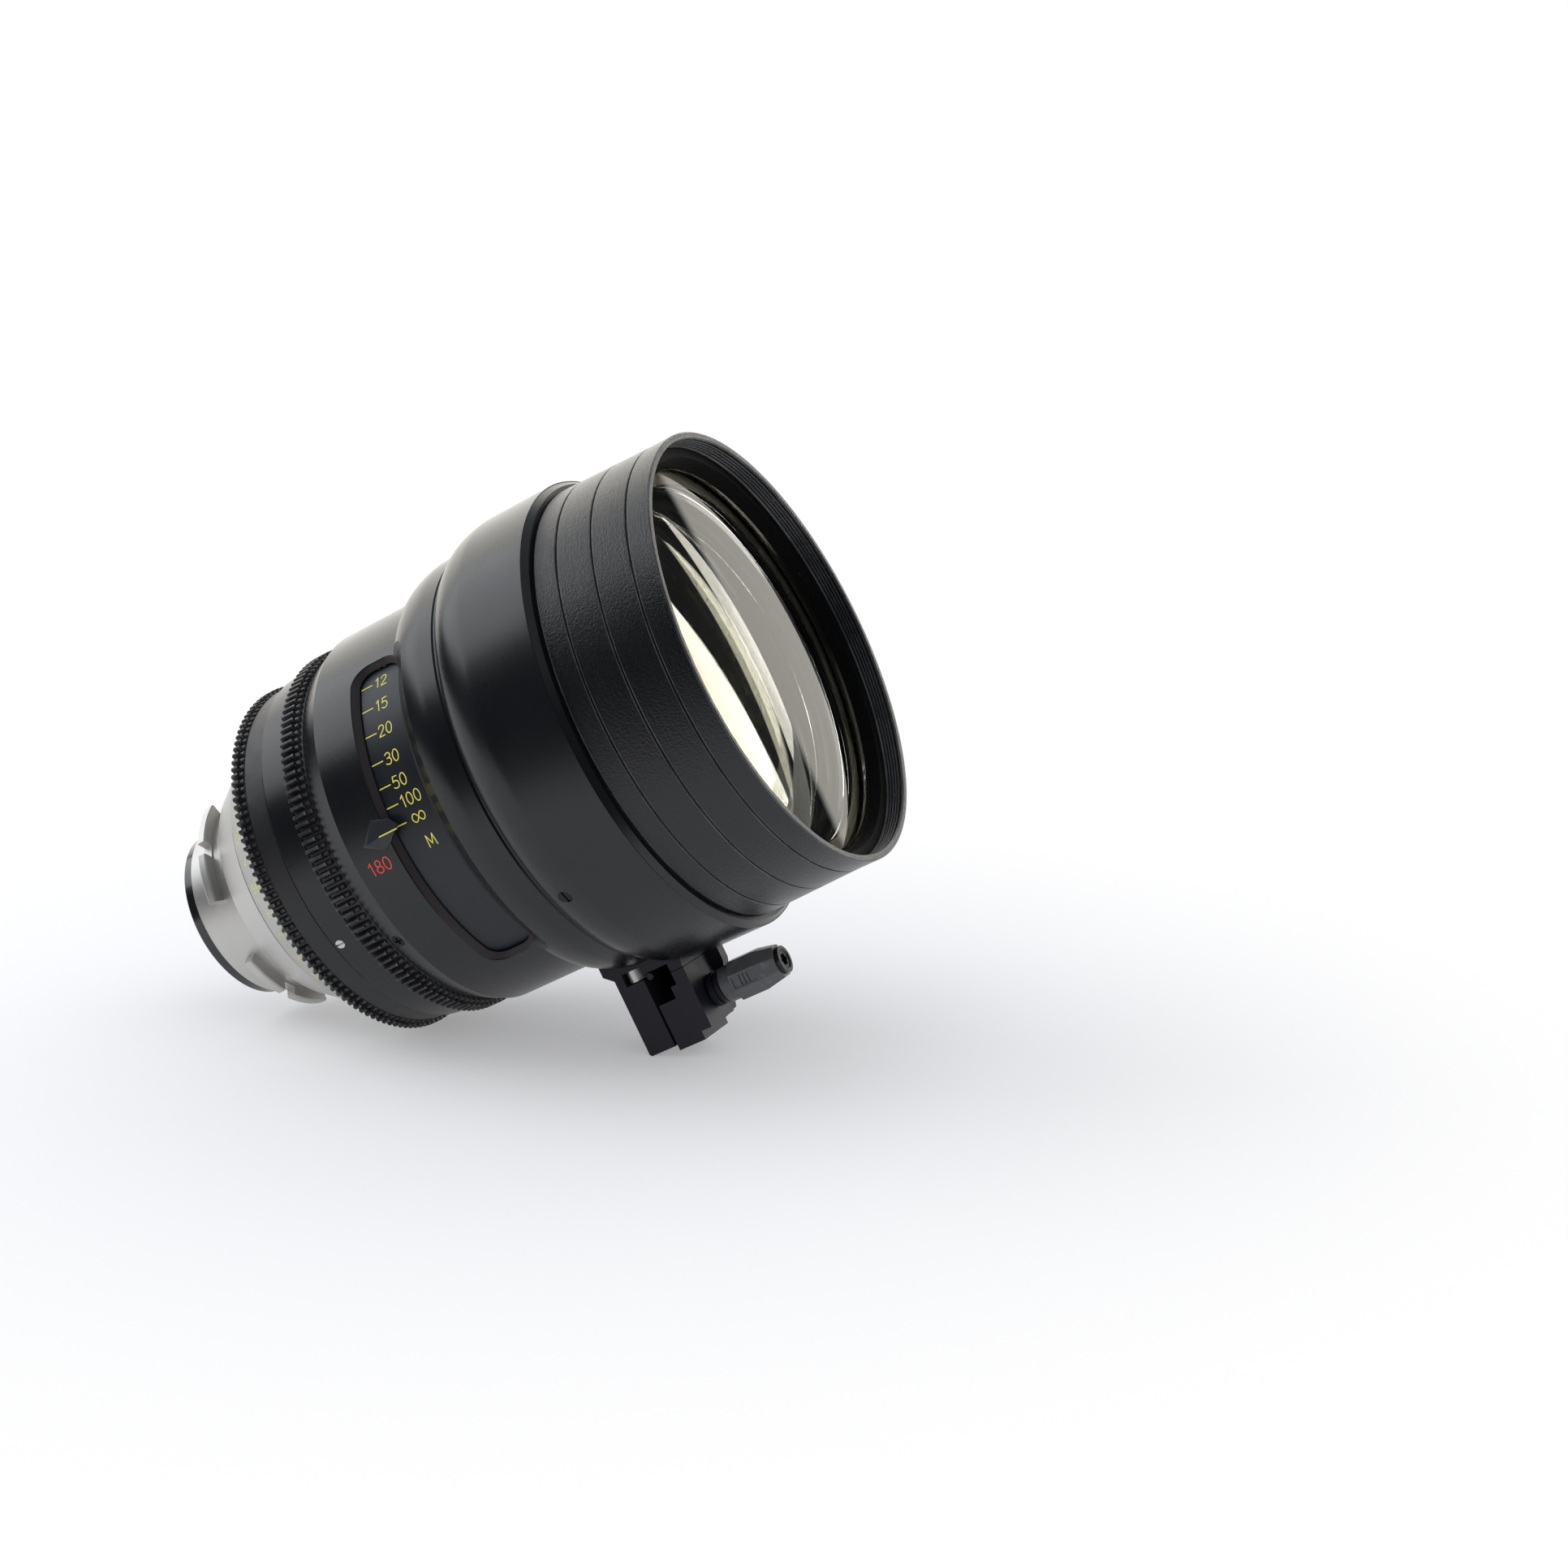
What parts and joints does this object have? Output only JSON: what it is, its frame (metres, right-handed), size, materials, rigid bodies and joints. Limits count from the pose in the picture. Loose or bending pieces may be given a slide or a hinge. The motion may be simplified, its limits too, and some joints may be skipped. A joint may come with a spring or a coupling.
{
  "type": "cinema prime lens",
  "caption": "Large-fronted 180 mm cinema prime lens with a steel bayonet mount, iris and focus gear rings, a scale window, a deep front hood and a clamp foot below.",
  "frame": {"origin": "centre of the bayonet mount's seat, on the optical axis", "axes": "+X along the optical axis towards the front glass, +Z the top of the lens, opposite the support foot"},
  "size_m": [0.1953, 0.136, 0.1593],
  "materials": {
    "barrel_black": "satin",
    "gear_black": "satin",
    "scale_dark": "matte",
    "scale_grey": "satin",
    "gloss_black": "gloss",
    "mount_steel": "satin",
    "screw_steel": "satin",
    "screw_black": "satin",
    "screw_zinc": "satin",
    "inner_black": "matte",
    "blade_steel": "matte",
    "glide_plastic": "satin",
    "optical_glass": "polished",
    "foot_black": "satin",
    "knob_plastic": "matte"
  },
  "bodies": {
    "lens": {"rear_baffle_ring": "gloss_black", "pl_mount": "mount_steel", "mount_screws": "screw_steel", "mount_shim": "mount_steel", "rear_cell": "inner_black", "rear_glass": "optical_glass", "rear_spacer": "inner_black", "rear_inner_glass": "optical_glass", "iris_carrier": "inner_black", "iris_cover": "inner_black", "rear_band": "barrel_black", "rear_band_screws": "screw_steel", "guide_tube": "inner_black", "main_barrel": "barrel_black", "barrel_screws": "screw_black", "glide_ring": "glide_plastic", "index_wedge": "barrel_black", "front_housing": "barrel_black", "housing_screws": "screw_black", "front_hood": "barrel_black", "front_cell": "inner_black", "front_glass": "optical_glass", "front_spacer": "inner_black", "second_glass": "optical_glass", "front_retainer": "inner_black", "light_baffle": "inner_black", "foot_saddle": "foot_black", "foot_bolts": "screw_zinc", "foot_cross_pin": "screw_steel"},
    "iris": {"iris_ring": "gear_black", "iris_scale_ring": "scale_grey", "iris_drive_ring": "inner_black", "iris_drive_pin": "screw_steel"},
    "blade_1": {"iris_blade_1": "blade_steel"},
    "blade_2": {"iris_blade_2": "blade_steel"},
    "blade_3": {"iris_blade_3": "blade_steel"},
    "blade_4": {"iris_blade_4": "blade_steel"},
    "blade_5": {"iris_blade_5": "blade_steel"},
    "blade_6": {"iris_blade_6": "blade_steel"},
    "blade_7": {"iris_blade_7": "blade_steel"},
    "blade_8": {"iris_blade_8": "blade_steel"},
    "focus": {"focus_ring": "gear_black", "focus_sleeve": "scale_dark"},
    "focus_group": {"focus_cell": "inner_black", "cam_rollers": "screw_steel", "focus_rear_glass": "optical_glass", "focus_spacer": "inner_black", "focus_front_glass": "optical_glass", "focus_retainer": "inner_black"},
    "jaw": {"clamp_jaw": "foot_black"},
    "knob": {"clamp_screw": "screw_steel", "clamp_collar": "foot_black", "clamp_knob": "knob_plastic", "knob_cap": "screw_black", "knob_end_screw": "screw_black"}
  },
  "joints": [
    {"name": "focus_turn", "type": "hinge", "parent": "lens", "child": "focus", "pos_m": [0.0535, 0, 0], "axis": [1, 0, 0], "range_deg": [0, 120]},
    {"name": "focus_slide", "type": "slide", "parent": "lens", "child": "focus_group", "axis": [1, 0, 0], "range_m": [0, 0.014]},
    {"name": "iris_turn", "type": "hinge", "parent": "lens", "child": "iris", "pos_m": [0.0355, 0, 0], "axis": [1, 0, 0], "range_deg": [0, 90]},
    {"name": "blade_1_turn", "type": "hinge", "parent": "lens", "child": "blade_1", "pos_m": [0.02255, -0.00121, 0.03458], "axis": [1, 0, 0], "range_deg": [0, 38]},
    {"name": "blade_2_turn", "type": "hinge", "parent": "lens", "child": "blade_2", "pos_m": [0.02295, -0.02531, 0.0236], "axis": [1, 0, 0], "range_deg": [0, 38]},
    {"name": "blade_3_turn", "type": "hinge", "parent": "lens", "child": "blade_3", "pos_m": [0.02335, -0.03458, -0.00121], "axis": [1, 0, 0], "range_deg": [0, 38]},
    {"name": "blade_4_turn", "type": "hinge", "parent": "lens", "child": "blade_4", "pos_m": [0.02375, -0.0236, -0.02531], "axis": [1, 0, 0], "range_deg": [0, 38]},
    {"name": "blade_5_turn", "type": "hinge", "parent": "lens", "child": "blade_5", "pos_m": [0.02415, 0.00121, -0.03458], "axis": [1, 0, 0], "range_deg": [0, 38]},
    {"name": "blade_6_turn", "type": "hinge", "parent": "lens", "child": "blade_6", "pos_m": [0.02455, 0.02531, -0.0236], "axis": [1, 0, 0], "range_deg": [0, 38]},
    {"name": "blade_7_turn", "type": "hinge", "parent": "lens", "child": "blade_7", "pos_m": [0.02495, 0.03458, 0.00121], "axis": [1, 0, 0], "range_deg": [0, 38]},
    {"name": "blade_8_turn", "type": "hinge", "parent": "lens", "child": "blade_8", "pos_m": [0.02535, 0.0236, 0.02531], "axis": [1, 0, 0], "range_deg": [0, 38]},
    {"name": "clamp_turn", "type": "hinge", "parent": "jaw", "child": "knob", "pos_m": [0.1187, 0, -0.079], "axis": [1, 0, 0], "range_deg": [0, 1350]},
    {"name": "clamp_slide", "type": "slide", "parent": "lens", "child": "jaw", "axis": [1, 0, 0], "range_m": [0, 0.003]}
  ],
  "couplings": [
    {"joint": "focus_slide", "follows": "focus_turn", "m_per_rad": 0.0066845},
    {"joint": "blade_1_turn", "follows": "iris_turn", "ratio": 0.42222},
    {"joint": "blade_2_turn", "follows": "iris_turn", "ratio": 0.42222},
    {"joint": "blade_3_turn", "follows": "iris_turn", "ratio": 0.42222},
    {"joint": "blade_4_turn", "follows": "iris_turn", "ratio": 0.42222},
    {"joint": "blade_5_turn", "follows": "iris_turn", "ratio": 0.42222},
    {"joint": "blade_6_turn", "follows": "iris_turn", "ratio": 0.42222},
    {"joint": "blade_7_turn", "follows": "iris_turn", "ratio": 0.42222},
    {"joint": "blade_8_turn", "follows": "iris_turn", "ratio": 0.42222}
  ]
}
